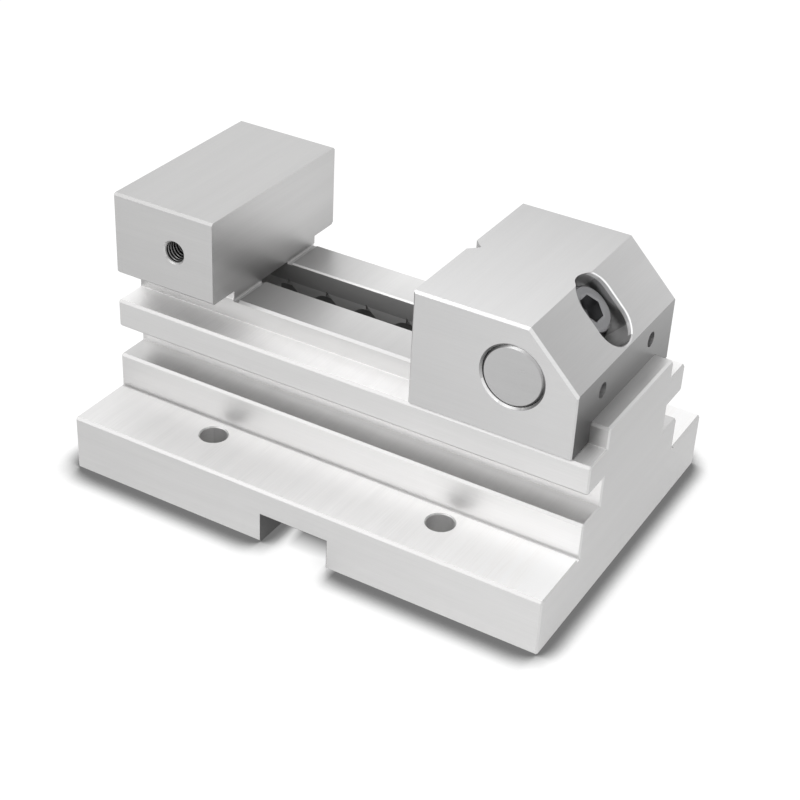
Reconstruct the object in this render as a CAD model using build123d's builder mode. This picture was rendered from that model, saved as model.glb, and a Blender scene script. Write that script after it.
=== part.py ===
from build123d import *
import os
from math import cos, radians, sin, sqrt

os.makedirs("parts", exist_ok=True)

# A precision vise with a flanged base. X runs along the vise towards the movable jaw, Z is up, and the
# origin is the middle of the underside. The front is the -Y side.

# Vise body: flanged base, stepped sides, bed
body_length = 170.0
flange_width = 119.0
flange_height = 20.0
body_width = 70.0
groove_depth = 11.5
step_top = 32.0
ledge_underside = 42.5
ledge_top = 52.5
bed_top = 59.5
edge_chamfer = 0.8
end_chamfer = 0.5
relief_width = 1.2
relief_depth = 0.6

# Fixed jaw
fixed_jaw_length = 38.0
overhang_underside = 62.5
jaw_depth = 31.5
face_relief_width = 1.6
face_relief_depth = 0.8
face_relief_undercut = 0.3

# Slots and holes of the body
bed_slot_width = 15.0
bed_slot_chamfer = 0.5
rail_underside = 46.0
pocket_width = 31.0
pocket_corner = 6.0
keyway_width = 24.5
keyway_height = 11.0
flange_hole_diameter = 9.0
flange_hole_mouth = 9.8
flange_hole_spacing_x = 84.0
flange_hole_spacing_y = 85.0
stop_hole_diameter = 6.8
stop_hole_mouth = 8.2
stop_hole_depth = 20.0
stop_hole_setback = 14.8

# Movable jaw, at its rest place
rest_opening = 71.25
closed_gap = 0.25
end_travel = 6.0
movable_jaw_length = 54.5
back_chamfer = 17.0
skirt_clearance = 0.3
running_clearance = 0.05
v_groove_width = 6.5
back_slot_width = 17.0
back_slot_length = 24.8
back_slot_overrun = 1.6
back_slot_floor = 1.5
mouth_chamfer = 0.4

# Trunnion pin across the movable jaw
pin_diameter = 20.0
pin_setback = 33.45
pin_height = 14.0
pin_end_recess = 0.15
pin_chamfer = 0.8
bore_mouth_chamfer = 0.6
washer_seat = 0.5
counterbore_diameter = 16.6
spring_seat = 8.5

# Swing of the clamp screw, as its angle above the bed
rest_angle = 49.0
shallow_angle = 39.0
steep_angle = 56.0

# Clamp screw and what it carries
screw_diameter = 10.0
screw_hole_clearance = 0.3
screw_length = 65.0
screw_tip_chamfer = 0.7
head_diameter = 16.0
head_height = 10.0
head_chamfer = 0.7
hex_across_flats = 8.0
hex_depth = 5.5
washer_diameter = 16.2
washer_thickness = 1.5
ring_diameter = 14.5
ring_thickness = 1.0
ring_groove_depth = 0.5
ring_setback = 2.0
ring_gap = 0.3

# Nut bar, and the notches under the rails that it seats in
nut_diameter = 16.0
nut_flat_height = 7.0
nut_side_clearance = 0.3
journal_diameter = 10.0
journal_chamfer = 0.8
nut_end_clearance = 0.7
notch_clearance = 0.3
notch_lead = 1.9
notch_steps = 5

# Release spring
spring_wire = 1.2
spring_bore_clearance = 0.4
spring_turns = 4
spring_way_clearance = 0.3

# Dog point screws that keep the trunnion pin in
lock_screw_diameter = 5.0
lock_screw_length = 12.0
lock_screw_y = 17.5
lock_screw_drop = 5.9
lock_dog_diameter = 3.4
lock_dog_length = 2.5
lock_hex_across_flats = 2.5
lock_hex_depth = 2.5
lock_groove_depth = 2.0
lock_clearance = 0.2

# How near an edge or corner lies to a plane that picks it
pick_margin = 0.01

# Places that follow from the sizes
end_x = body_length / 2
half_width = body_width / 2
neck_half_width = half_width - groove_depth
jaw_top = bed_top + jaw_depth
fixed_face_x = fixed_jaw_length - end_x
jaw_face_x = fixed_face_x + rest_opening
jaw_end_x = jaw_face_x + movable_jaw_length
closing_travel = rest_opening - closed_gap
pin_x = jaw_face_x + pin_setback
pin_z = bed_top + pin_height
bore_radius = pin_diameter / 2 + running_clearance
shallow = radians(shallow_angle)
steep = radians(steep_angle)
rest = radians(rest_angle)

# Distances from the trunnion down the clamp screw: to its tip, to the ring near the tip, to the nut bar
# against that ring, as at rest, and to the nut bar in a notch at the shallow end of the swing
head_seat = washer_seat + washer_thickness
tip_reach = screw_length - head_seat
ring_reach = tip_reach - ring_setback
rest_reach = ring_reach - ring_gap - nut_diameter / 2
tight_reach = (pin_z - rail_underside) / sin(shallow)
nut_travel = rest_reach - tight_reach
spring_radius = (screw_diameter + spring_wire) / 2 + spring_bore_clearance
screw_way_radius = spring_radius + spring_wire / 2 + spring_way_clearance

# The clamp screw's own frame: Z runs up the screw to its head, X is the vise's Y
screw_frame = Plane(origin=(pin_x, 0, pin_z), x_dir=(0, 1, 0), z_dir=(cos(rest), 0, sin(rest)))
screw_axis = Axis((pin_x, 0, pin_z), (cos(rest), 0, sin(rest)))

# Vise body: one section along its whole length, with the fixed jaw's section on its left end
body_outline = [
    (0, 0),
    (flange_width / 2, 0),
    (flange_width / 2, flange_height),
    (half_width, flange_height),
    (half_width, step_top),
    (neck_half_width, step_top),
    (neck_half_width, ledge_underside),
    (half_width, ledge_underside),
    (half_width, ledge_top),
    (neck_half_width, ledge_top),
    (neck_half_width, bed_top),
    (0, bed_top),
]
fixed_jaw_outline = [
    (0, ledge_top),
    (neck_half_width, ledge_top),
    (neck_half_width, overhang_underside),
    (half_width, overhang_underside),
    (half_width, jaw_top),
    (0, jaw_top),
]


def on_sharp_edge(vertex):
    on_flange = abs(vertex.X) > half_width + pick_margin
    on_side = abs(vertex.X) > neck_half_width + pick_margin and vertex.Y > flange_height + pick_margin
    on_bed = abs(vertex.X) > pick_margin and vertex.Y > bed_top - pick_margin
    return on_flange or on_side or on_bed


with BuildPart() as vise_body:
    with BuildSketch(Plane.YZ.offset(-end_x)) as body_section:
        with BuildLine():
            Polyline(*body_outline, close=True)
        make_face()
        mirror(about=Plane.YZ)
        chamfer(body_section.vertices().filter_by(on_sharp_edge), edge_chamfer)
    extrude(amount=body_length)
    with BuildSketch(Plane.YZ.offset(-end_x)) as jaw_section:
        with BuildLine():
            Polyline(*fixed_jaw_outline, close=True)
        make_face()
        mirror(about=Plane.YZ)
        outer_corners = jaw_section.vertices().filter_by(lambda v: abs(v.X) > neck_half_width + pick_margin)
        chamfer(outer_corners, edge_chamfer)
    extrude(amount=fixed_jaw_length)
    ends = vise_body.faces().filter_by(Axis.X).sort_by(Axis.X)
    chamfer(ends[0].outer_wire().edges() + ends[-1].outer_wire().edges(), end_chamfer)

    # grinding reliefs at the foot of the stepped sides and of the clamping face
    with BuildSketch(Plane.YZ.offset(-end_x)):
        for side in (-1, 1):
            with Locations((side * (half_width + relief_width / 2), flange_height)):
                Rectangle(relief_width, 2 * relief_depth)
    extrude(amount=body_length, mode=Mode.SUBTRACT)
    with BuildSketch(Plane.XZ):
        with Locations((fixed_face_x - face_relief_undercut, bed_top + face_relief_undercut)):
            Rectangle(
                face_relief_undercut + face_relief_width,
                face_relief_undercut + face_relief_depth,
                align=(Align.MIN, Align.MAX),
            )
    extrude(amount=half_width, both=True, mode=Mode.SUBTRACT)

    # the slot in the bed, cut from below, which runs on under the fixed jaw to let the nut bar in
    slot_corner = bed_slot_width / 2 - sqrt(bed_slot_width * nut_side_clearance)
    slot_start = pin_x - closing_travel - rest_reach * cos(shallow) - nut_diameter / 2 - slot_corner
    slot_end = pin_x + end_travel
    with BuildSketch(Plane.XY):
        with Locations(((slot_start + slot_end) / 2, 0)):
            SlotOverall(slot_end - slot_start, bed_slot_width)
    extrude(amount=bed_top, mode=Mode.SUBTRACT)
    bed_edges = vise_body.edges().filter_by(lambda e: abs(e.center().Z - bed_top) < pick_margin)
    slot_edges = bed_edges.filter_by(lambda e: abs(e.center().Y) < bed_slot_width / 2 + pick_margin)
    chamfer(slot_edges.filter_by(lambda e: e.center().X > fixed_face_x), bed_slot_chamfer)

    # the wide pocket under the rails, open below, where the nut bar and the screw's tail travel
    pocket_start = pin_x - closing_travel - tip_reach * cos(shallow) - screw_diameter
    pocket_end = slot_end - bed_slot_width / 4
    with BuildSketch(Plane.XY):
        with Locations(((pocket_start + pocket_end) / 2, 0)):
            RectangleRounded(pocket_end - pocket_start, pocket_width, pocket_corner)
    extrude(amount=rail_underside, mode=Mode.SUBTRACT)

    # a row of slanting notches under both rails, with round bottoms for the nut bar's ends
    notch_radius = journal_diameter / 2 + notch_clearance
    notch_mouth = notch_radius + notch_lead
    notch_pitch = (closing_travel + end_travel) / notch_steps
    first_notch_x = pin_x + end_travel - tight_reach * cos(shallow)
    with BuildSketch(Plane.XZ):
        for step in range(notch_steps + 1):
            with Locations((first_notch_x - step * notch_pitch, rail_underside)):
                Polygon((0, 0), (notch_mouth, 0), (0, notch_mouth), align=None)
                with Locations((-nut_travel * cos(shallow) / 2, -nut_travel * sin(shallow) / 2)):
                    SlotCenterToCenter(nut_travel, 2 * notch_radius, rotation=shallow_angle)
    extrude(amount=pocket_width / 2, both=True, mode=Mode.SUBTRACT)

    # the keyway across the underside, the holes for hold-down bolts, and one for a stop on each side
    with BuildSketch(Plane.XZ):
        Rectangle(keyway_width, 2 * keyway_height)
    extrude(amount=flange_width / 2, both=True, mode=Mode.SUBTRACT)
    with Locations(Plane.XY.offset(flange_height)):
        with GridLocations(flange_hole_spacing_x, flange_hole_spacing_y, 2, 2):
            CounterSinkHole(flange_hole_diameter / 2, flange_hole_mouth / 2, flange_height, 90)
    stop_hole_x = fixed_face_x - stop_hole_setback
    stop_hole_z = (overhang_underside + jaw_top) / 2
    for side in (-1, 1):
        with Locations(Plane(origin=(stop_hole_x, side * half_width, stop_hole_z), z_dir=(0, side, 0))):
            CounterSinkHole(stop_hole_diameter / 2, stop_hole_mouth / 2, stop_hole_depth, 90)
vise_body.part.label = "vise_body"
export_step(vise_body.part, "parts/vise_body.step")

# Movable jaw: straddles the bed, with a sloping back
jaw_outline = [
    (jaw_face_x, ledge_top + skirt_clearance),
    (jaw_end_x, ledge_top + skirt_clearance),
    (jaw_end_x, jaw_top - back_chamfer),
    (jaw_end_x - back_chamfer, jaw_top),
    (jaw_face_x, jaw_top),
]
slope_top = (jaw_end_x - back_chamfer, 0, jaw_top)
slope_frame = Plane(origin=slope_top, x_dir=(1, 0, -1), z_dir=(1, 0, 1))
pin_below_slope = (jaw_end_x - back_chamfer - pin_x + jaw_top - pin_z) / sqrt(2)
slot_middle = back_slot_length / 2 - back_slot_overrun

# The screw and its spring need room from the trunnion down to the bed over the whole swing
above_screw = Vector(pin_x - screw_way_radius * sin(shallow), pin_z + screw_way_radius * cos(shallow))
below_screw = Vector(pin_x + screw_way_radius * sin(steep), pin_z - screw_way_radius * cos(steep))
screw_way = [
    above_screw,
    (above_screw.X - (above_screw.Y - ledge_top) * cos(shallow) / sin(shallow), ledge_top),
    (below_screw.X - (below_screw.Y - ledge_top) * cos(steep) / sin(steep), ledge_top),
    below_screw,
]
lock_screw_z = pin_z - lock_screw_drop

with BuildPart() as movable_jaw:
    with BuildSketch(Plane.XZ):
        with BuildLine():
            Polyline(*jaw_outline, close=True)
        make_face()
    extrude(amount=half_width, both=True)
    side_edges = movable_jaw.edges().filter_by(lambda e: abs(e.center().Y) > half_width - pick_margin)
    chamfer(side_edges.filter_by(lambda e: e.center().Z > jaw_top - back_chamfer), edge_chamfer)
    foot_edges = movable_jaw.edges().filter_by(Axis.Z)
    chamfer(foot_edges.filter_by(lambda e: e.center().Z < jaw_top - back_chamfer), end_chamfer)
    with BuildSketch(Plane.YZ.offset(jaw_face_x)):
        with Locations((0, (ledge_top + bed_top) / 2)):
            Rectangle(2 * (neck_half_width + running_clearance), bed_top - ledge_top)
    extrude(amount=movable_jaw_length, mode=Mode.SUBTRACT)
    with BuildSketch(Plane.XZ):
        with Locations((pin_x, pin_z)):
            Circle(bore_radius)
    extrude(amount=half_width, both=True, mode=Mode.SUBTRACT)
    chamfer(movable_jaw.edges().filter_by(GeomType.CIRCLE), bore_mouth_chamfer)

    # the long slot in the back for the screw's head, and the way for the screw below the trunnion
    with BuildSketch(slope_frame):
        with Locations((slot_middle, 0)):
            SlotOverall(back_slot_length, back_slot_width)
    extrude(amount=back_slot_floor - pin_below_slope, mode=Mode.SUBTRACT)
    with BuildSketch(slope_frame.offset(mouth_chamfer)):
        with Locations((slot_middle, 0)):
            SlotOverall(back_slot_length + 4 * mouth_chamfer, back_slot_width + 4 * mouth_chamfer)
    extrude(amount=-2 * mouth_chamfer, taper=45, mode=Mode.SUBTRACT)
    with BuildSketch(Plane.XZ):
        with BuildLine():
            Polyline(*screw_way, close=True)
        make_face()
    extrude(amount=screw_way_radius, both=True, mode=Mode.SUBTRACT)

    # the V groove up the clamping face, and the two lock screw holes in the end
    with BuildSketch(Plane.XY.offset(ledge_top)):
        with BuildLine():
            Polyline(
                (jaw_face_x, -v_groove_width / 2),
                (jaw_face_x + v_groove_width / 2, 0),
                (jaw_face_x, v_groove_width / 2),
                close=True,
            )
        make_face()
    extrude(amount=jaw_top - ledge_top, mode=Mode.SUBTRACT)
    for side in (-1, 1):
        with Locations(Plane(origin=(jaw_end_x, side * lock_screw_y, lock_screw_z), z_dir=(1, 0, 0))):
            Hole(lock_screw_diameter / 2, jaw_end_x - pin_x - pin_diameter / 4)
movable_jaw.part.label = "movable_jaw"
export_step(movable_jaw.part, "parts/movable_jaw.step")

# Trunnion pin: as long as the jaw is wide, cross-drilled for the screw, with seats for washer and spring
lock_groove_width = lock_dog_diameter + 2 * lock_clearance
with BuildPart() as trunnion_pin:
    with BuildSketch(Plane.XZ):
        with Locations((pin_x, pin_z)):
            Circle(pin_diameter / 2)
    extrude(amount=half_width - pin_end_recess, both=True)
    chamfer(trunnion_pin.edges().filter_by(GeomType.CIRCLE), pin_chamfer)
    for side in (-1, 1):
        with BuildSketch(Plane.XZ.offset(side * lock_screw_y - lock_groove_width / 2)):
            with Locations((pin_x, pin_z)):
                Circle(pin_diameter)
                Circle(pin_diameter / 2 - lock_groove_depth, mode=Mode.SUBTRACT)
        extrude(amount=lock_groove_width, mode=Mode.SUBTRACT)
    with BuildSketch(screw_frame):
        Circle(screw_diameter / 2 + screw_hole_clearance)
    extrude(amount=pin_diameter, both=True, mode=Mode.SUBTRACT)
    with BuildSketch(screw_frame.offset(washer_seat)):
        Circle(counterbore_diameter / 2)
    extrude(amount=pin_diameter, mode=Mode.SUBTRACT)
    with BuildSketch(screw_frame.offset(-spring_seat)):
        Circle(screw_way_radius)
    extrude(amount=-pin_diameter, mode=Mode.SUBTRACT)
trunnion_pin.part.label = "trunnion_pin"
export_step(trunnion_pin.part, "parts/trunnion_pin.step")

# Thrust washer in the trunnion's counterbore, under the screw's head
with BuildPart() as thrust_washer:
    with BuildSketch(screw_frame.offset(washer_seat)):
        Circle(washer_diameter / 2)
        Circle(screw_diameter / 2 + screw_hole_clearance, mode=Mode.SUBTRACT)
    extrude(amount=washer_thickness)
thrust_washer.part.label = "thrust_washer"
export_step(thrust_washer.part, "parts/thrust_washer.step")

# Clamp screw: a socket head cap screw with a groove for the ring near its tip
with BuildPart() as clamp_screw:
    with BuildSketch(screw_frame.offset(head_seat)):
        Circle(screw_diameter / 2)
    extrude(amount=-screw_length)
    chamfer(clamp_screw.faces().sort_by(screw_axis)[0].edges(), screw_tip_chamfer)
    with BuildSketch(screw_frame.offset(head_seat)):
        Circle(head_diameter / 2)
    extrude(amount=head_height)
    chamfer(clamp_screw.faces().sort_by(screw_axis)[-1].edges(), head_chamfer)
    with BuildSketch(screw_frame.offset(head_seat + head_height)):
        RegularPolygon(hex_across_flats / 2, 6, major_radius=False)
    extrude(amount=-hex_depth, mode=Mode.SUBTRACT)
    with BuildSketch(screw_frame.offset(-ring_reach)):
        Circle(screw_diameter)
        Circle(screw_diameter / 2 - ring_groove_depth, mode=Mode.SUBTRACT)
    extrude(amount=-ring_thickness, mode=Mode.SUBTRACT)
clamp_screw.part.label = "clamp_screw"
export_step(clamp_screw.part, "parts/clamp_screw.step")

# Retaining ring: an open ring snapped into the screw's groove
ring_bore = screw_diameter / 2 - ring_groove_depth + running_clearance
with BuildPart() as retaining_ring:
    with BuildSketch(screw_frame.offset(-ring_reach)):
        Circle(ring_diameter / 2)
        Circle(ring_bore, mode=Mode.SUBTRACT)
        with Locations((0, -ring_diameter / 2)):
            Rectangle(ring_bore, ring_diameter, mode=Mode.SUBTRACT)
    extrude(amount=-ring_thickness)
retaining_ring.part.label = "retaining_ring"
export_step(retaining_ring.part, "parts/retaining_ring.step")

# Nut bar: a cross bar threaded on the screw, with a flat for the spring and an end under each rail
nut_x = pin_x - rest_reach * cos(rest)
nut_z = pin_z - rest_reach * sin(rest)
nut_frame = Plane(origin=(nut_x, 0, nut_z), x_dir=(sin(rest), 0, -cos(rest)), z_dir=(0, 1, 0))
nut_half_length = pocket_width / 2 - nut_end_clearance
with BuildPart() as nut_bar:
    with BuildSketch(nut_frame):
        Circle(journal_diameter / 2)
    extrude(amount=nut_half_length, both=True)
    chamfer(nut_bar.edges().filter_by(GeomType.CIRCLE), journal_chamfer)
    with BuildSketch(nut_frame):
        Circle(nut_diameter / 2)
        with Locations((0, -nut_flat_height)):
            Rectangle(nut_diameter, nut_diameter, align=(Align.CENTER, Align.MAX), mode=Mode.SUBTRACT)
    extrude(amount=bed_slot_width / 2 - nut_side_clearance, both=True)
    with BuildSketch(screw_frame.offset(-rest_reach)):
        Circle(screw_diameter / 2 + running_clearance)
    extrude(amount=nut_diameter, both=True, mode=Mode.SUBTRACT)
nut_bar.part.label = "nut_bar"
export_step(nut_bar.part, "parts/nut_bar.step")

# Release spring between the trunnion and the nut bar's flat: square wire with ground ends
spring_length = rest_reach - nut_flat_height - spring_seat
spring_foot = screw_frame.offset(nut_flat_height - rest_reach)
with BuildPart() as release_spring:
    with BuildLine() as coil:
        turn = spring_length / spring_turns
        Helix(turn, spring_length, spring_radius, spring_foot.origin, spring_foot.z_dir)
    wire_start = coil.line @ 0
    with BuildSketch(Plane(origin=wire_start, x_dir=wire_start - spring_foot.origin, z_dir=coil.line % 0)):
        Rectangle(spring_wire, spring_wire)
    sweep(is_frenet=True)
    with BuildSketch(spring_foot):
        Circle(screw_diameter)
    extrude(amount=-spring_wire, mode=Mode.SUBTRACT)
    with BuildSketch(spring_foot.offset(spring_length)):
        Circle(screw_diameter)
    extrude(amount=spring_wire, mode=Mode.SUBTRACT)
release_spring.part.label = "release_spring"
export_step(release_spring.part, "parts/release_spring.step")

# Lock screws: dog point set screws in the jaw's end, whose points run in the trunnion's grooves
groove_radius = pin_diameter / 2 - lock_groove_depth
dog_top_drop = lock_screw_drop - lock_dog_diameter / 2
dog_tip_x = pin_x + sqrt(groove_radius**2 - dog_top_drop**2) + lock_clearance
for side, name in ((-1, "front"), (1, "rear")):
    lock_frame = Plane(origin=(dog_tip_x, side * lock_screw_y, lock_screw_z), z_dir=(1, 0, 0))
    with BuildPart() as lock_screw:
        with BuildSketch(lock_frame):
            Circle(lock_dog_diameter / 2)
        extrude(amount=lock_screw_length)
        with BuildSketch(lock_frame.offset(lock_dog_length)):
            Circle(lock_screw_diameter / 2 - running_clearance)
        extrude(amount=lock_screw_length - lock_dog_length)
        with BuildSketch(lock_frame.offset(lock_screw_length)):
            RegularPolygon(lock_hex_across_flats / 2, 6, major_radius=False)
        extrude(amount=-lock_hex_depth, mode=Mode.SUBTRACT)
    lock_screw.part.label = f"pin_lock_screw_{name}"
    export_step(lock_screw.part, f"parts/pin_lock_screw_{name}.step")
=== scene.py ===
import math
import bmesh
import bpy
from mathutils import Matrix, Vector


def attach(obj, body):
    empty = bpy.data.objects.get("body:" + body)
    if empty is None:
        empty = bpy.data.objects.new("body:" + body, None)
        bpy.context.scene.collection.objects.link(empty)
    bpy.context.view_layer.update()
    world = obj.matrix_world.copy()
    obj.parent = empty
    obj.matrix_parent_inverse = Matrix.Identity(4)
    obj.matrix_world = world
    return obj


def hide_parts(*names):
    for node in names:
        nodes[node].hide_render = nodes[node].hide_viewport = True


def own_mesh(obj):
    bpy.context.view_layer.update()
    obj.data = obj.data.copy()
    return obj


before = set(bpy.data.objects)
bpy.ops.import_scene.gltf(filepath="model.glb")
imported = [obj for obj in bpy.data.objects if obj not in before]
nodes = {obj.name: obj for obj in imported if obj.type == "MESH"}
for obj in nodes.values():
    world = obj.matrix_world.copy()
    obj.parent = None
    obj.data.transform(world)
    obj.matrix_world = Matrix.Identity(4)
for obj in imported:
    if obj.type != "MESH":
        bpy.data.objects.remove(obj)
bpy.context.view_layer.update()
print("frame loaded:", len(nodes), "nodes")

# X runs along the vise towards the movable jaw and its front is -Y, in metres if nothing else is said
mm = 0.001
pinPlace = (0.0577, 0.0, 0.0735)      # middle of the trunnion pin
jawSlope = 0.15275                    # what x and z add up to on the movable jaw's slanted back
white = (1.0, 1.0, 1.0, 1.0)
black = (0.0, 0.0, 0.0, 1.0)


# a wire is one output socket, and an expression on wires adds its own Math nodes
class Wire:
    def __init__(self, graph, socket):
        self.graph = graph
        self.socket = socket

    def math(self, operation, *others, clamp=False):
        values = {0: self}
        values.update({i + 1: other for i, other in enumerate(others)})
        return self.graph.add("ShaderNodeMath", {"operation": operation, "use_clamp": clamp}, values)

    def __add__(self, other):
        return self.math("ADD", other)

    def __mul__(self, other):
        return self.math("MULTIPLY", other)

    def __sub__(self, other):
        return self.math("SUBTRACT", other)

    def __truediv__(self, other):
        return self.math("DIVIDE", other)

    def __rsub__(self, other):
        return self.graph.add("ShaderNodeMath", {"operation": "SUBTRACT"}, {0: other, 1: self})

    __radd__ = __add__
    __rmul__ = __mul__


class Graph:
    def __init__(self, tree):
        self.tree = tree

    def node(self, kind, settings=None, sockets=None):
        made = self.tree.nodes.new(kind)
        for name, value in (settings or {}).items():
            setattr(made, name, value)
        for key, value in (sockets or {}).items():
            target = made.inputs[key]
            if isinstance(value, Wire):
                self.tree.links.new(value.socket, target)
            else:
                target.default_value = value
        return made

    def add(self, kind, settings=None, sockets=None, output=0):
        return Wire(self, self.node(kind, settings, sockets).outputs[output])

    def split(self, vector):
        parts = self.node("ShaderNodeSeparateXYZ", None, {0: vector})
        return [Wire(self, output) for output in parts.outputs]

    def join(self, *parts):
        return self.add("ShaderNodeCombineXYZ", None, dict(enumerate(parts)))


def newMaterial(name):
    material = bpy.data.materials.new(name)
    material.use_nodes = True
    material.node_tree.nodes.clear()
    return material, Graph(material.node_tree)


def newObject(name, data):
    made = bpy.data.objects.new(name, data)
    bpy.context.scene.collection.objects.link(made)
    return made


# Ground steel has fine streaks left by the wheel, which run a different way on each side.
# The limits say how squarely a face has to look along its axes to count as top, side and so on.
facingLimit = {"top": 0.8, "side": 0.8, "end": 0.8, "slope": 0.4, "edge": 0.3, "corner": 0.12}
streakNoise = {"Scale": 1.0, "Detail": 4.0, "Roughness": 0.65}
bandNoise = {"Scale": 1.0, "Detail": 2.0}
cloudNoise = {"Detail": 3.0, "Roughness": 0.55}
sideShift = {"streakEnd": 7.0, "streakSide": 3.0, "bandEnd": 5.0}      # so that no two sides share a streak
ringTilt = 0.35      # turns a ring's light and dark quarters


def noise(g, vector, settings):
    return g.add("ShaderNodeTexNoise", None, {"Vector": vector, **settings}, "Fac") - 0.5      # lies round 0


def between(way, bounds):
    low, high = bounds
    return [way.math("GREATER_THAN", low), way.math("LESS_THAN", high)]


def distance(dx, dz):
    return (dx * dx + dz * dz).math("SQRT")


def groundSteel(name, look, zones=(), threads=()):
    material, g = newMaterial(name)
    place = g.add("ShaderNodeTexCoord", None, None, "Object")
    x, y, z = g.split(place)
    facing = g.split(g.add("ShaderNodeTexCoord", None, None, "Normal"))
    nx, ny, nz = (way.math("ABSOLUTE") for way in facing)
    towards = {"top": nz, "side": ny, "end": nx, "slope": nx * nz, "edge": ny * nz, "corner": nx * ny * nz}
    faces = {face: amount.math("GREATER_THAN", facingLimit[face]) for face, amount in towards.items()}
    places = {"x": x, "y": y, "z": z, "outX": x.math("ABSOLUTE"), "outY": y.math("ABSOLUTE"),
              "dip": (jawSlope - x - z) * math.sqrt(0.5)}      # depth under the jaw's slanted back
    across = x * faces["top"] + z * (1 - faces["top"])         # streaks lie a wheel's grain apart along this
    along = y * (1 - faces["side"]) + x * faces["side"]
    streakShift = nx * sideShift["streakEnd"] + ny * sideShift["streakSide"]
    bandShift = nx * sideShift["bandEnd"]
    streak = noise(g, g.join(across * look["grain"], along * look["grainRun"], streakShift), streakNoise)
    band = noise(g, g.join(across * look["band"], along * look["bandRun"], bandShift), bandNoise)
    cloud = noise(g, place, {"Scale": look["cloud"], **cloudNoise})
    tone = 1 + streak * look["streakTone"] + band * look["bandTone"] + cloud * look["cloudTone"]
    rough = look["roughness"] + streak * look["streakRough"] + cloud * look["cloudRough"]
    height = streak * look["streakDepth"] + band * look["bandDepth"]
    for thread in threads:                                     # turns of a thread on the wall of a cross hole, with painted shade darkening that wall
        dx, dz = x - thread["x"], z - thread["z"]
        inside = distance(dx, dz).math("LESS_THAN", thread["radius"])
        turn = y / thread["pitch"] + dz.math("ARCTAN2", dx) / (2 * math.pi)
        wave = (turn * (2 * math.pi)).math("SINE")
        height = height + wave * inside * (thread["pitch"] * thread["depth"])
        tone = tone * (1 - inside * thread["shade"])
    for zone in zones:                                         # a part of the piece with painted light, shade and reflections in its tone, and at times a roughness of its own
        masks = [faces[zone["on"]]] if "on" in zone else []
        shade = zone["tone"]
        for key, way in places.items():
            if key in zone:
                masks += between(way, zone[key])
            if key + "Lean" in zone:
                shade = shade + way * zone[key + "Lean"]
        if "ring" in zone:                                     # painted highlight and shade by quarters on a chamfer round the pin
            dx, dz = x - pinPlace[0], z - pinPlace[2]
            masks += between(distance(dx, dz), zone["ring"])
            shade = shade + dx * (dz - dx * ringTilt) * zone["quarter"]
        mask = math.prod(masks[1:], start=masks[0])
        tone = tone * (1 + mask * (shade - 1))
        rough = rough + mask * zone.get("rough", 0.0)
    # the tone may reach 2, so half of it mixes black, socket 6, with twice the colour, socket 7
    half = tone.math("MULTIPLY", 0.5, clamp=True)
    twice = tuple(2 * value for value in look["colour"]) + (1.0,)
    colour = g.add("ShaderNodeMix", {"data_type": "RGBA"}, {"Factor": half, 6: black, 7: twice}, 2)
    bump = g.add("ShaderNodeBump", None, {"Strength": 1.0, "Distance": 1.0, "Height": height})
    shader = g.add("ShaderNodeBsdfPrincipled", None, {
        "Base Color": colour, "Metallic": 1.0, "Roughness": rough, "Normal": bump})
    g.node("ShaderNodeOutputMaterial", None, {"Surface": shader})
    return material


steelLook = {
    "body": {"colour": (0.62, 0.617, 0.615), "roughness": 0.38, "grain": 2600.0, "grainRun": 45.0,
             "band": 260.0, "bandRun": 12.0, "cloud": 24.0, "streakTone": 0.15, "bandTone": 0.08,
             "cloudTone": 0.05, "streakRough": 0.16, "cloudRough": 0.08, "streakDepth": 1.2e-6,
             "bandDepth": 1e-6},
    "jaw": {"colour": (0.558, 0.556, 0.556), "roughness": 0.34, "grain": 2800.0, "grainRun": 40.0,
            "band": 240.0, "bandRun": 10.0, "cloud": 26.0, "streakTone": 0.13, "bandTone": 0.07,
            "cloudTone": 0.04, "streakRough": 0.14, "cloudRough": 0.07, "streakDepth": 1e-6,
            "bandDepth": 1e-6},
    "pin": {"colour": (0.432, 0.431, 0.432), "roughness": 0.30, "grain": 2400.0, "grainRun": 60.0,
            "band": 300.0, "bandRun": 20.0, "cloud": 40.0, "streakTone": 0.10, "bandTone": 0.05,
            "cloudTone": 0.05, "streakRough": 0.14, "cloudRough": 0.06, "streakDepth": 1e-6,
            "bandDepth": 1e-6},
    "screw": {"colour": (0.27, 0.27, 0.278), "roughness": 0.34, "grain": 1800.0, "grainRun": 200.0,
              "band": 300.0, "bandRun": 60.0, "cloud": 60.0, "streakTone": 0.10, "bandTone": 0.08,
              "cloudTone": 0.08, "streakRough": 0.12, "cloudRough": 0.08, "streakDepth": 1e-6,
              "bandDepth": 1e-6},
    "spring": {"colour": (0.46, 0.46, 0.47), "roughness": 0.30, "grain": 1500.0, "grainRun": 500.0,
               "band": 300.0, "bandRun": 90.0, "cloud": 80.0, "streakTone": 0.12, "bandTone": 0.08,
               "cloudTone": 0.08, "streakRough": 0.12, "cloudRough": 0.08, "streakDepth": 1e-6,
               "bandDepth": 1e-6},
}
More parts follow.
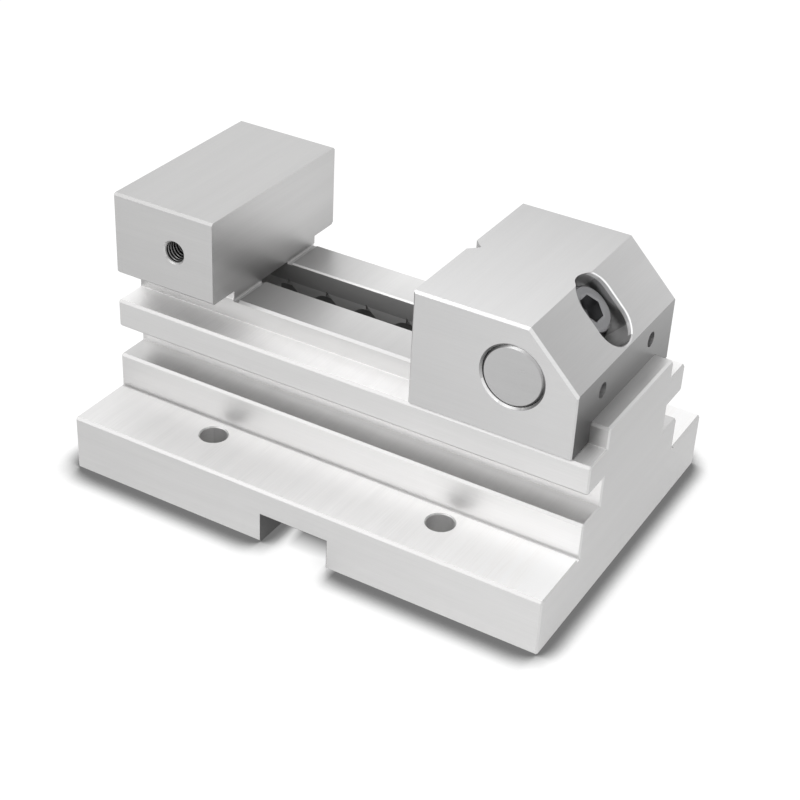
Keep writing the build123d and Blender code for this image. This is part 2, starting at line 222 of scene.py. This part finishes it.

# A zone lies between the bounds it names, on faces that look its way. Its tone multiplies the steel's, and a
# lean is what that tone gains along a metre of the axis. outX and outY are distances from the vise's middle.
# Most of these tones are painted light, shade and reflections, not the steel's own colour.
bodyZones = [
    # fixed jaw: the whole of it, its sides, its ends with a painted reflection, and painted shade at the foot
    # of its clamping face
    {"z": (0.0597, 1.0), "tone": 0.86, "rough": -0.03},
    {"z": (0.0597, 1.0), "on": "side", "tone": 0.98},
    {"z": (0.0597, 1.0), "on": "end", "tone": 1.16, "yLean": -3.0, "rough": 0.08},
    {"x": (-0.0480, -0.0460), "z": (0.0597, 0.0750), "on": "end", "tone": 0.0, "zLean": 13.4},
    # painted light leaning along the sides, and painted shade on long chamfers all over
    {"on": "side", "tone": 0.935, "xLean": 1.0},
    {"on": "edge", "tone": 0.80, "rough": 0.15},
    # bed: painted shade on its sides, painted light on its top beside the fixed jaw and across the whole of
    # its top, and a painted reflection darkening its right end
    {"z": (0.0526, 0.0593), "on": "side", "tone": 0.67},
    {"x": (-0.0475, -0.0120), "z": (0.0590, 0.0600), "on": "top", "tone": 1.15, "xLean": 13.0},
    {"x": (-0.0480, 0.0860), "z": (0.0590, 0.0600), "on": "top", "tone": 1.035, "yLean": 7.0},
    {"x": (0.0550, 0.0860), "z": (0.0590, 0.0600), "on": "top", "tone": 0.67, "xLean": 6.0},
    # painted light on the tops of the ledges
    {"z": (0.0515, 0.0528), "on": "top", "tone": 1.56, "rough": 0.12},
    # slot in the bed: painted shade on its far wall, a painted highlight on the chamfer over that, and
    # painted shade on what lies under the rails
    {"y": (0.0070, 0.0080), "z": (0.0450, 0.0592), "on": "side", "tone": 0.25, "zLean": 15.5, "rough": 0.22},
    {"y": (0.0070, 0.0090), "z": (0.0585, 0.0600), "on": "edge", "tone": 1.35},
    {"x": (-0.0550, 0.0800), "y": (-0.0158, 0.0158), "z": (-0.0010, 0.0459), "tone": 0.55, "rough": 0.30},
    # flange: painted light on its top and in its four holes, and a painted reflection of the flange top on
    # the wall behind it
    {"z": (0.0150, 0.0203), "on": "top", "tone": 1.49, "xLean": 1.7, "rough": 0.28},
    {"outX": (0.0370, 0.0470), "outY": (0.0375, 0.0475), "z": (-0.0010, 0.0196), "tone": 1.33, "rough": 0.10},
    {"z": (0.0203, 0.0330), "on": "side", "tone": 1.07, "rough": 0.12},
    # right end face, darker towards the top, and painted shade in the keyway
    {"x": (0.0840, 1.0), "z": (-0.0010, 0.0600), "on": "end", "tone": 1.0, "zLean": -3.0},
    {"x": (-0.01235, 0.01235), "z": (-0.0010, 0.0111), "tone": 0.20},
]
jawZones = [
    # painted light and shade on its sides, top, slope and long chamfers, and a painted highlight on its
    # corners
    {"on": "side", "tone": 0.86, "xLean": 1.8},
    {"on": "top", "tone": 1.08, "yLean": -3.2},
    {"on": "slope", "tone": 1.06, "yLean": 3.2},
    {"on": "edge", "tone": 0.95, "rough": 0.10},
    {"on": "corner", "tone": 1.40},
    # right end face darkened by a painted reflection, a painted highlight on the far lip of the screw's slot,
    # and painted light and shade by quarters round the mouth of the pin's bore
    {"x": (0.0787, 1.0), "tone": -0.375, "yLean": 2.8, "zLean": 11.0},
    {"x": (0.0600, 0.0786), "y": (0.0045, 0.0100), "z": (0.0600, 0.0906), "dip": (0.0001, 0.0017),
     "tone": 3.0, "rough": 0.20},
    {"ring": (0.01008, 0.01070), "tone": 0.86, "quarter": 7800.0},
]
pinZones = [{"ring": (0.00930, 0.00998), "tone": 0.84, "quarter": 6500.0}]        # painted highlight and shade by quarters on the chamfer of the pin
# the thread's turns are bumps, and its shade is painted shade darkening the stop hole's wall
stopThread = {"x": -0.0618, "z": 0.07675, "radius": 0.0036, "pitch": 0.00125, "depth": 0.16, "shade": 0.62}

bodySteel = groundSteel("bodySteel", steelLook["body"], bodyZones, [stopThread])
jawSteel = groundSteel("jawSteel", steelLook["jaw"], jawZones)
pinSteel = groundSteel("pinSteel", steelLook["pin"], pinZones)
screwSteel = groundSteel("screwSteel", steelLook["screw"])
springSteel = groundSteel("springSteel", steelLook["spring"])
print("five steels made")


# a coil round Z whose end turns may be closed, for the spring's wire and the ridge of the screw's thread
closedRise = 2.04      # of a closed turn, in radii of the wire, so that its neighbours just part


def makeCoilTree():
    tree = bpy.data.node_groups.new("coil", "GeometryNodeTree")
    kinds = {"Turns": "Float", "Radius": "Float", "Length": "Float", "Wire": "Float", "End Turns": "Float",
             "Sides": "Int", "Steps": "Int", "Finish": "Material"}
    for name, kind in kinds.items():
        tree.interface.new_socket(name=name, in_out="INPUT", socket_type="NodeSocket" + kind)
    tree.interface.new_socket(name="Geometry", in_out="OUTPUT", socket_type="NodeSocketGeometry")
    g = Graph(tree)
    group = g.node("NodeGroupInput")
    size = {name: Wire(g, group.outputs[name]) for name in kinds}
    line = g.add("GeometryNodeCurvePrimitiveLine", None, {"End": (0.0, 0.0, 1.0)})
    points = g.add("GeometryNodeResampleCurve", None, {"Curve": line, "Count": size["Steps"]})
    factor = g.add("GeometryNodeSplineParameter", None, None, "Factor")
    angle = factor * size["Turns"] * (2 * math.pi)
    closedPitch = size["Wire"] * closedRise
    closedLength = closedPitch * size["End Turns"]
    share = size["End Turns"] / size["Turns"]
    foot = factor * size["Turns"] * closedPitch
    head = size["Length"] - (1 - factor) * size["Turns"] * closedPitch
    middle = closedLength + (factor - share) / (1 - share * 2) * (size["Length"] - closedLength * 2)
    height = foot.math("MAXIMUM", middle).math("MINIMUM", head)
    place = g.join(angle.math("COSINE") * size["Radius"], angle.math("SINE") * size["Radius"], height)
    path = g.add("GeometryNodeSetPosition", None, {"Geometry": points, "Position": place})
    upright = g.add("GeometryNodeSetCurveNormal", {"mode": "Z_UP"}, {"Curve": path})
    section = g.add("GeometryNodeCurvePrimitiveCircle", None, {
        "Resolution": size["Sides"], "Radius": size["Wire"]})
    solid = g.add("GeometryNodeCurveToMesh", None, {
        "Curve": upright, "Profile Curve": section, "Fill Caps": True})
    plain = g.add("GeometryNodeRealizeInstances", None, {"Geometry": solid})
    dressed = g.add("GeometryNodeSetMaterial", None, {"Geometry": plain, "Material": size["Finish"]})
    g.node("NodeGroupOutput", None, {"Geometry": dressed})
    return tree


coilTree = makeCoilTree()


def coilMesh(name, values):
    holder = newObject(name, bpy.data.meshes.new(name))
    modifier = holder.modifiers.new("coil", "NODES")
    modifier.node_group = coilTree
    names = {item.name: item.identifier for item in coilTree.interface.items_tree if item.in_out == "INPUT"}
    for key, value in values.items():
        modifier[names[key]] = value
    mesh = bpy.data.meshes.new_from_object(holder.evaluated_get(bpy.context.evaluated_depsgraph_get()))
    bpy.data.objects.remove(holder)
    return mesh


screwAngle = 49.0                     # degrees that the clamp screw stands up from the bed


# the clamp screw's own frame: Z runs up to its head and X across the vise
def screwFrame(angle):
    up = Vector((math.cos(angle), 0, math.sin(angle)))
    across = Vector((0, 1, 0))
    turn = Matrix((across, up.cross(across), up)).transposed().to_4x4()
    return Matrix.Translation(pinPlace) @ turn


toScrew = screwFrame(math.radians(screwAngle))


def addPiece(name, mesh, node, body, material):
    mesh.transform(toScrew)
    shape = bmesh.new()
    shape.from_mesh(mesh)
    bmesh.ops.recalc_face_normals(shape, faces=shape.faces)
    shape.to_mesh(mesh)
    shape.free()
    mesh.materials.clear()
    mesh.materials.append(material)
    piece = newObject(name, mesh)
    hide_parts(node)
    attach(piece, body)
    return piece


# release spring of round wire, from its seat on the trunnion down to the nut bar, in millimetres
springLook = {"seat": 8.5, "length": 37.2, "radius": 6.0, "wire": 0.6, "turns": 8.0, "endTurns": 1.0,
              "travel": 9.0, "sides": 12, "turnSteps": 40}


def makeSpring(look):
    mesh = coilMesh("releaseSpring", {
        "Turns": look["turns"], "Radius": look["radius"] * mm, "Wire": look["wire"] * mm,
        "Length": (look["length"] - 2 * look["wire"]) * mm, "End Turns": look["endTurns"],
        "Sides": look["sides"], "Steps": int(look["turns"] * look["turnSteps"]), "Finish": springSteel})
    mesh.transform(Matrix.Translation((0, 0, (look["wire"] - look["seat"] - look["length"]) * mm)))
    for polygon in mesh.polygons:
        polygon.use_smooth = True
    piece = addPiece("releaseSpring", mesh, "release_spring", "trunnion", springSteel)
    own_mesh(piece)


makeSpring(springLook)
print("release spring made")

# Socket head cap screw, in millimetres: seat is the height of its head's underside over the pin's middle, and
# threadFrom, threadTo and groove are measured down from the seat.
capLook = {"seat": 2.0, "length": 65.0, "shank": 5.0, "tip": 0.7, "neck": 0.4,
           "core": 4.08, "threadFrom": 33.0, "threadTo": 60.0, "pitch": 1.5, "runout": 0.9,
           "ridgeInset": 1.2, "ridgeOut": 0.30, "ridgeWire": 0.62, "ridgeSides": 3, "turnSteps": 30,
           "groove": 63.0, "grooveDepth": 0.5, "grooveWidth": 1.0,
           "head": 8.0, "headHeight": 10.0, "headChamfer": 0.7, "footChamfer": 0.4,
           "knurl": 0.14, "knurlStep": 0.2, "knurlFrom": 0.9, "knurlTo": 0.6,
           "hex": 4.0, "hexCorner": 1.155, "hexMouth": 0.35, "hexDepth": 5.5, "hexPoint": 1.2,
           "segments": 180}


def makeCapScrew(look):
    seat, shank, core, head = (look[key] for key in ("seat", "shank", "core", "head"))
    top = seat + look["headHeight"]
    tip = seat - look["length"]
    grooveTop = seat - look["groove"]
    grooveFoot = grooveTop - look["grooveWidth"]
    threadFoot = seat - look["threadTo"]
    threadTop = seat - look["threadFrom"]
    chamferFoot = top - look["headChamfer"]
    hexFloor = top - look["hexDepth"]
    count = look["segments"]

    def plain(radius):
        return lambda i: radius

    def knurled(radius):
        return lambda i: radius - (look["knurl"] if i % 2 else 0.0)

    def hexed(flat):
        return lambda i: flat / math.cos(math.radians((i * 360.0 / count) % 60.0 - 30.0))

    def ringPoint(reach, height, i):
        angle = 2 * math.pi * i / count
        return (reach(i) * math.cos(angle) * mm, reach(i) * math.sin(angle) * mm, height * mm)

    grooved = shank - look["grooveDepth"]
    smooth = head - look["knurlStep"]
    rings = [                                                  # from the tip up to the head and into its hex
        (plain(shank - look["tip"]), tip), (plain(shank), tip + look["tip"]),
        (plain(shank), grooveFoot), (plain(grooved), grooveFoot),
        (plain(grooved), grooveTop), (plain(shank), grooveTop),
        (plain(shank), threadFoot), (plain(core), threadFoot + look["runout"]),
        (plain(core), threadTop - look["runout"]), (plain(shank), threadTop),
        (plain(shank), seat - look["neck"]), (plain(shank + look["neck"]), seat),
        (plain(smooth - look["footChamfer"]), seat), (plain(smooth), seat + look["footChamfer"]),
        (knurled(head), seat + look["knurlFrom"]), (knurled(head), chamferFoot - look["knurlTo"]),
        (plain(smooth), chamferFoot), (plain(smooth - look["headChamfer"]), top),
        (plain(look["hex"] * look["hexCorner"] + look["hexMouth"]), top),
        (hexed(look["hex"]), top - look["hexMouth"]), (hexed(look["hex"]), hexFloor),
    ]
    shape = bmesh.new()
    loops = [[shape.verts.new(ringPoint(reach, height, i)) for i in range(count)] for reach, height in rings]
    for lower, upper in zip(loops, loops[1:]):
        for i in range(count):
            j = (i + 1) % count
            shape.faces.new((lower[i], lower[j], upper[j], upper[i]))
    for loop, height in ((loops[0], tip), (loops[-1], hexFloor - look["hexPoint"])):
        pole = shape.verts.new((0, 0, height * mm))
        for i in range(count):
            shape.faces.new((loop[i], loop[(i + 1) % count], pole))
    turns = (threadTop - threadFoot - 2 * look["ridgeInset"]) / look["pitch"]
    ridge = coilMesh("threadRidge", {
        "Turns": turns, "Radius": (core + look["ridgeOut"]) * mm, "Length": turns * look["pitch"] * mm,
        "Wire": look["ridgeWire"] * mm, "End Turns": 0.0, "Sides": look["ridgeSides"],
        "Steps": int(turns * look["turnSteps"]), "Finish": screwSteel})
    ridge.transform(Matrix.Translation((0, 0, (threadFoot + look["ridgeInset"]) * mm)))
    shape.from_mesh(ridge)
    bpy.data.meshes.remove(ridge)
    mesh = bpy.data.meshes.new("clampScrew")
    shape.to_mesh(mesh)
    shape.free()
    addPiece("clampScrew", mesh, "clamp_screw", "screw", screwSteel)


makeCapScrew(capLook)
print("clamp screw made")

finishOf = {
    "vise_body": bodySteel, "movable_jaw": jawSteel, "trunnion_pin": pinSteel, "nut_bar": pinSteel,
    "thrust_washer": screwSteel, "pin_lock_screw_front": screwSteel, "pin_lock_screw_rear": screwSteel,
    "retaining_ring": springSteel,
}
for nodeName, material in finishOf.items():
    slots = nodes[nodeName].data.materials
    if len(slots):
        for i in range(len(slots)):
            slots[i] = material
    else:
        slots.append(material)
print("materials on", len(finishOf), "nodes")


def makePlate(name, half, place, material):
    mesh = bpy.data.meshes.new(name)
    shape = bmesh.new()
    bmesh.ops.create_grid(shape, x_segments=1, y_segments=1, size=half)
    bmesh.ops.transform(shape, matrix=place, verts=shape.verts)
    shape.to_mesh(mesh)
    shape.free()
    mesh.materials.append(material)
    return newObject(name, mesh)


def glowing(g, colour, strength):
    return g.add("ShaderNodeEmission", None, {"Color": colour, "Strength": strength})


# The floor's colour carries a painted contact shadow. The gap is the keyway's mouth, where the painted
# contact shadow is weak and painted shade deepens inwards instead.
# The painted shadow is trimmed past the right end, and the steel mirrors none of it.
floorLook = {"half": 6.0, "shade": 0.80, "seenShade": 0.12, "seenGlow": 0.96, "mirroredGlow": 0.40,
             "shadowReach": 0.0109, "shadowSamples": 16, "shadowFrom": 0.64, "shadowTo": 0.97,
             "shadowPower": 1.3, "shadowTone": 0.17,
             "rightFrom": 0.083, "rightFade": 0.008, "rightTrim": 0.065,
             "gapMiddle": 0.0035, "gapHalf": 0.0070, "gapFade": 0.005, "gapContact": 0.15,
             "gapFront": 0.0570, "gapDepth": 0.0105, "gapTone": 0.85}


def makeFloor(look):
    material, g = newMaterial("paleFloor")
    path = g.node("ShaderNodeLightPath")
    seen = Wire(g, path.outputs["Is Camera Ray"])
    mirrored = Wire(g, path.outputs["Is Glossy Ray"]) + Wire(g, path.outputs["Is Transmission Ray"])
    x, y = g.split(g.add("ShaderNodeTexCoord", None, None, "Object"))[:2]
    near = g.add("ShaderNodeAmbientOcclusion", {"samples": look["shadowSamples"]},
                 {"Distance": look["shadowReach"]}, "AO")
    right = (x - look["rightFrom"]).math("DIVIDE", look["rightFade"], clamp=True)
    clear = near + right * look["rightTrim"] - look["shadowFrom"]
    rise = clear.math("DIVIDE", look["shadowTo"] - look["shadowFrom"], clamp=True)
    contact = (1 - rise.math("POWER", look["shadowPower"])) * (1 - look["shadowTone"])
    sideways = (x - look["gapMiddle"]).math("ABSOLUTE")
    solid = (sideways - look["gapHalf"]).math("DIVIDE", look["gapFade"], clamp=True)
    deep = (look["gapFront"] - y.math("ABSOLUTE")).math("DIVIDE", look["gapDepth"], clamp=True)
    underGap = (1 - solid) * deep * look["gapTone"]
    contact = contact * (solid + (1 - solid) * look["gapContact"])
    light = 1 - contact.math("MAXIMUM", underGap) * seen
    pale = light * (look["shade"] + seen * (look["seenShade"] - look["shade"]))
    colour = g.add("ShaderNodeCombineColor", None, {"Red": pale, "Green": pale, "Blue": pale})
    matte = g.add("ShaderNodeBsdfDiffuse", None, {"Color": colour})
    strength = light * (seen * look["seenGlow"] + mirrored * look["mirroredGlow"])
    both = g.add("ShaderNodeAddShader", None, {0: matte, 1: glowing(g, white, strength)})
    g.node("ShaderNodeOutputMaterial", None, {"Surface": both})
    makePlate("floor", look["half"], Matrix.Identity(4), material)


worldLook = {"seen": 1.0, "lighting": 0.65}       # white where it is seen, and softer as a light


def makeWorld(look):
    world = bpy.data.worlds.new("studio")
    bpy.context.scene.world = world
    world.use_nodes = True
    world.node_tree.nodes.clear()
    g = Graph(world.node_tree)
    path = g.node("ShaderNodeLightPath")
    rays = [Wire(g, path.outputs[ray]) for ray in ("Is Camera Ray", "Is Glossy Ray", "Is Transmission Ray")]
    seen = (rays[0] + rays[1] + rays[2]).math("MINIMUM", 1.0)
    strength = seen * look["seen"] + (1 - seen) * look["lighting"]
    sky = g.add("ShaderNodeBackground", None, {"Color": white, "Strength": strength})
    g.node("ShaderNodeOutputWorld", None, {"Surface": sky})


# A grey card behind the vise, which only the steel sees. Width and height stretch a plate that measures 1.
cardLook = {"at": (0.55, 0.95, 0.72), "half": 0.5, "width": 1.1, "height": 1.0, "shade": 0.82}


def turnedTo(at, aim):
    return Matrix.Translation(at) @ (at - aim).to_track_quat("Z", "Y").to_matrix().to_4x4()


def makeCard(look):
    material, g = newMaterial("cardGrey")
    tone = look["shade"]
    g.node("ShaderNodeOutputMaterial", None, {"Surface": glowing(g, (tone, tone, tone, 1.0), 1.0)})
    stretch = Matrix.Diagonal((look["width"], look["height"], 1.0, 1.0))
    turn = turnedTo(Vector(look["at"]), Vector((0, 0, 0)))
    plate = makePlate("greyCard", look["half"], turn @ stretch, material)
    plate.visible_camera = False
    plate.visible_diffuse = False
    plate.visible_shadow = False


lamps = {
    "key": {"at": (-0.40, -0.88, 0.74), "size": 0.80, "power": 6.0},
    "back": {"at": (-0.36, 0.70, 0.72), "size": 0.62, "power": 0.22},
}
lampAim = Vector((0, 0, 0.04))


def makeLamp(name, lamp):
    light = bpy.data.lights.new(name, "AREA")
    light.shape = "SQUARE"
    light.size = lamp["size"]
    light.energy = lamp["power"]
    newObject(name, light).matrix_world = turnedTo(Vector(lamp["at"]), lampAim)


makeFloor(floorLook)
makeWorld(worldLook)
makeCard(cardLook)
for name, lamp in lamps.items():
    makeLamp(name, lamp)
print("floor, world, card and", len(lamps), "lamps")

# the angles, in degrees, turn the camera round its target, and focalPixels is its focal length in the picture
cameraPlace = {"azimuth": 28.91, "elevation": 32.72, "roll": 3.07, "distance": 0.54656,
               "target": (0.00709, -0.00855, 0.03321), "focalPixels": 1701.5, "widthPixels": 800,
               "sensor": 36.0, "clipStart": 0.02, "clipEnd": 50.0}


def makeCamera(place):
    azimuth, elevation, roll = (math.radians(place[key]) for key in ("azimuth", "elevation", "roll"))
    level = math.cos(elevation)
    back = Vector((math.sin(azimuth) * level, -math.cos(azimuth) * level, math.sin(elevation)))
    right = (-back).cross(Vector((0, 0, 1))).normalized()
    up = right.cross(-back)
    turnedRight = right * math.cos(roll) + up * math.sin(roll)
    turnedUp = up * math.cos(roll) - right * math.sin(roll)
    data = bpy.data.cameras.new("camera")
    data.sensor_fit = "HORIZONTAL"
    data.sensor_width = place["sensor"]
    data.lens = place["focalPixels"] / place["widthPixels"] * place["sensor"]
    data.clip_start = place["clipStart"]
    data.clip_end = place["clipEnd"]
    camera = newObject("camera", data)
    turn = Matrix((turnedRight, turnedUp, back)).transposed().to_4x4()
    camera.matrix_world = Matrix.Translation(Vector(place["target"]) + back * place["distance"]) @ turn
    bpy.context.scene.camera = camera


makeCamera(cameraPlace)
bpy.context.scene.view_settings.view_transform = "Standard"
print("camera set")
